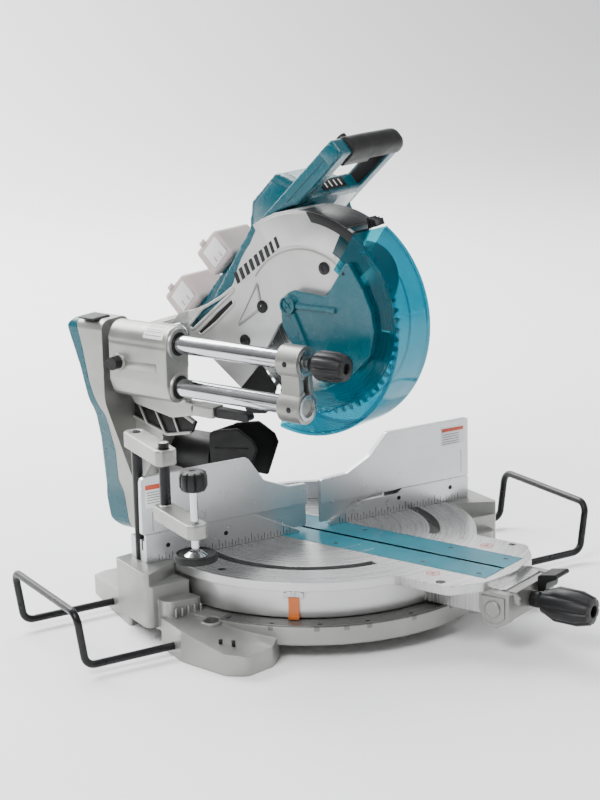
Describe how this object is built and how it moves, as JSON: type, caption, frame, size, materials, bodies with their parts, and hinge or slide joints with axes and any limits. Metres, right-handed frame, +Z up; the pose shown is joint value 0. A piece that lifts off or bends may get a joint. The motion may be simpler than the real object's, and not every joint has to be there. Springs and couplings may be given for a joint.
{
  "type": "sliding compound mitre saw",
  "caption": "Battery sliding compound mitre saw with turning table, tilting arm, two slide poles, swinging guard, fences, hold-down vise and wire work holders.",
  "frame": {"origin": "on the bench under the turntable pivot; centre line of the fence face", "axes": "+X to the operator's right along the fence, +Y away from the operator, +Z up"},
  "size_m": [0.814, 0.7544, 0.6409],
  "materials": {
    "cast_alloy": "fine-blasted cast alloy",
    "silver_paint": "satin silver paint",
    "fence_alloy": "machined",
    "table_alloy": "turned",
    "steel": "brushed",
    "chromed": "polished",
    "scale_plate": "etched",
    "black_steel": "black oxide",
    "teal_plastic": "satin",
    "teal_board": "satin",
    "clear_teal": "tinted clear plastic",
    "orange_clear": "tinted clear plastic",
    "black_plastic": "fine texture",
    "black_rubber": "matte",
    "pack_plastic": "faded",
    "copper": "wound"
  },
  "bodies": {
    "base": {"base_casting": "cast_alloy", "guide_fence": "fence_alloy", "fence_bolts": "black_steel", "mitre_scale": "scale_plate", "pivot_bolt": "steel", "vise_post": "black_steel", "thumb_screws": "black_plastic"},
    "left_fence": {"left_sub_fence": "fence_alloy"},
    "right_fence": {"right_sub_fence": "fence_alloy"},
    "left_holder_wire": {"left_holder": "black_steel"},
    "right_holder_wire": {"right_holder": "black_steel"},
    "table": {"turntable": "table_alloy", "kerf_boards": "teal_board", "mitre_pointer": "orange_clear", "pointer_clip": "steel", "lock_bracket": "cast_alloy"},
    "mitre_lock": {"mitre_grip": "black_plastic", "grip_spindle": "steel"},
    "mitre_release": {"release_lever": "black_plastic"},
    "bevel_arm": {"arm_housing": "silver_paint", "arm_cover": "teal_plastic", "bevel_shaft": "steel", "bevel_scale": "scale_plate", "pole_upper": "chromed", "pole_lower": "chromed", "pole_bracket": "silver_paint", "dust_duct": "black_plastic", "dust_hood": "black_rubber"},
    "bevel_lock": {"bevel_knob": "black_plastic", "bevel_rod": "steel"},
    "sliding_carriage": {"carriage": "silver_paint", "pole_bushes": "steel", "pivot_pin": "steel", "head_spring": "steel"},
    "slide_lever": {"slide_lock": "black_plastic"},
    "stop_plunger": {"stop_pin": "black_plastic"},
    "saw_head": {"blade_case": "silver_paint", "case_bolts": "black_steel", "gear_case": "cast_alloy", "motor_housing": "teal_plastic", "motor_stator": "copper", "dust_guide": "black_rubber", "handle_frame": "teal_plastic", "handle_grip": "black_rubber"},
    "blade_spindle": {"spindle": "steel", "saw_blade": "steel", "blade_flanges": "steel", "arbor_bolt": "black_steel"},
    "motor_rotor": {"rotor": "steel"},
    "blade_guard": {"lower_guard": "clear_teal", "centre_cover": "teal_plastic"},
    "switch_trigger": {"trigger": "black_plastic"},
    "lock_off": {"lock_off_button": "black_plastic"},
    "upper_pack": {"battery_upper": "pack_plastic"},
    "lower_pack": {"battery_lower": "pack_plastic"},
    "vise_swing": {"vise_upper_arm": "cast_alloy"},
    "vise_drop": {"vise_drop_arm": "cast_alloy"},
    "vise_press": {"vise_screw": "chromed", "vise_knob": "black_plastic", "vise_pad": "black_rubber"}
  },
  "joints": [
    {"name": "left_fence_slide", "type": "slide", "parent": "base", "child": "left_fence", "axis": [1, 0, 0], "range_m": [-0.09, 0]},
    {"name": "right_fence_slide", "type": "slide", "parent": "base", "child": "right_fence", "axis": [-1, 0, 0], "range_m": [-0.09, 0]},
    {"name": "left_holder_slide", "type": "slide", "parent": "base", "child": "left_holder_wire", "axis": [1, 0, 0], "range_m": [-0.11, 0.07]},
    {"name": "right_holder_slide", "type": "slide", "parent": "base", "child": "right_holder_wire", "axis": [-1, 0, 0], "range_m": [-0.11, 0.07]},
    {"name": "mitre", "type": "hinge", "parent": "base", "child": "table", "pos_m": [0, 0, 0.06], "axis": [0, 0, 1], "range_deg": [-82.5, 37.5]},
    {"name": "mitre_lock_turn", "type": "hinge", "parent": "table", "child": "mitre_lock", "pos_m": [0.14925, -0.36031, 0.064], "axis": [-0.3827, 0.9239, 0], "range_deg": [-90, 90]},
    {"name": "mitre_release_press", "type": "hinge", "parent": "table", "child": "mitre_release", "pos_m": [0.15904, -0.31079, 0.072], "axis": [0.9239, 0.3827, 0], "range_deg": [0, 12], "stiffness_Nm_per_rad": 1.2},
    {"name": "bevel", "type": "hinge", "parent": "table", "child": "bevel_arm", "pos_m": [-0.09873, 0.23836, 0.097], "axis": [-0.3827, 0.9239, 0], "range_deg": [-18, 18]},
    {"name": "bevel_lock_turn", "type": "hinge", "parent": "bevel_arm", "child": "bevel_lock", "pos_m": [-0.05412, -0.13066, 0.36], "axis": [-0.3827, 0.9239, 0], "range_deg": [-90, 90]},
    {"name": "carriage_slide", "type": "slide", "parent": "bevel_arm", "child": "sliding_carriage", "axis": [-0.3827, 0.9239, 0], "range_m": [-0.175, 0]},
    {"name": "slide_lock_turn", "type": "hinge", "parent": "sliding_carriage", "child": "slide_lever", "pos_m": [-0.1168, 0.05986, 0.269], "axis": [-0.3827, 0.9239, 0], "range_deg": [-60, 60]},
    {"name": "stop_pin_pull", "type": "slide", "parent": "sliding_carriage", "child": "stop_plunger", "axis": [-0.9239, -0.3827, 0], "range_m": [0, 0.008], "stiffness_N_per_m": 400},
    {"name": "head_chop", "type": "hinge", "parent": "sliding_carriage", "child": "saw_head", "pos_m": [-0.08228, 0.19863, 0.35], "axis": [-0.9239, -0.3827, 0], "range_deg": [-47, 0], "stiffness_Nm_per_rad": 30, "springref_deg": 60.16},
    {"name": "blade_spin", "type": "hinge", "parent": "saw_head", "child": "blade_spindle", "pos_m": [0.00574, -0.01386, 0.395], "axis": [0.9239, 0.3827, 0], "continuous": true},
    {"name": "motor_spin", "type": "hinge", "parent": "saw_head", "child": "motor_rotor", "pos_m": [0.08582, 0.05411, 0.42295], "axis": [0.9239, 0.3827, 0], "continuous": true},
    {"name": "guard_swing", "type": "hinge", "parent": "saw_head", "child": "blade_guard", "pos_m": [0.00574, -0.01386, 0.395], "axis": [0.9239, 0.3827, 0], "range_deg": [-113.5, 0]},
    {"name": "trigger_pull", "type": "slide", "parent": "saw_head", "child": "switch_trigger", "axis": [0.2776, -0.6702, 0.6884], "range_m": [0, 0.006], "stiffness_N_per_m": 900},
    {"name": "lock_off_press", "type": "slide", "parent": "saw_head", "child": "lock_off", "axis": [0.2634, -0.636, -0.7254], "range_m": [0, 0.003], "stiffness_N_per_m": 900},
    {"name": "upper_pack_slide", "type": "slide", "parent": "saw_head", "child": "upper_pack", "axis": [0.9239, 0.3827, 0], "range_m": [0, 0.085]},
    {"name": "lower_pack_slide", "type": "slide", "parent": "saw_head", "child": "lower_pack", "axis": [0.9239, 0.3827, 0], "range_m": [0, 0.085]},
    {"name": "vise_swing_turn", "type": "hinge", "parent": "base", "child": "vise_swing", "pos_m": [-0.254, 0.025, 0.26], "axis": [0, 0, 1], "range_deg": [-100, 40]},
    {"name": "vise_height", "type": "slide", "parent": "vise_swing", "child": "vise_drop", "axis": [0, 0, 1], "range_m": [-0.05, 0.05]},
    {"name": "vise_screw_travel", "type": "slide", "parent": "vise_drop", "child": "vise_press", "axis": [0, 0, -1], "range_m": [-0.017, 0.036]}
  ],
  "couplings": [
    {"joint": "guard_swing", "follows": "head_chop", "ratio": 2.4149},
    {"joint": "motor_spin", "follows": "blade_spin", "ratio": -4}
  ]
}
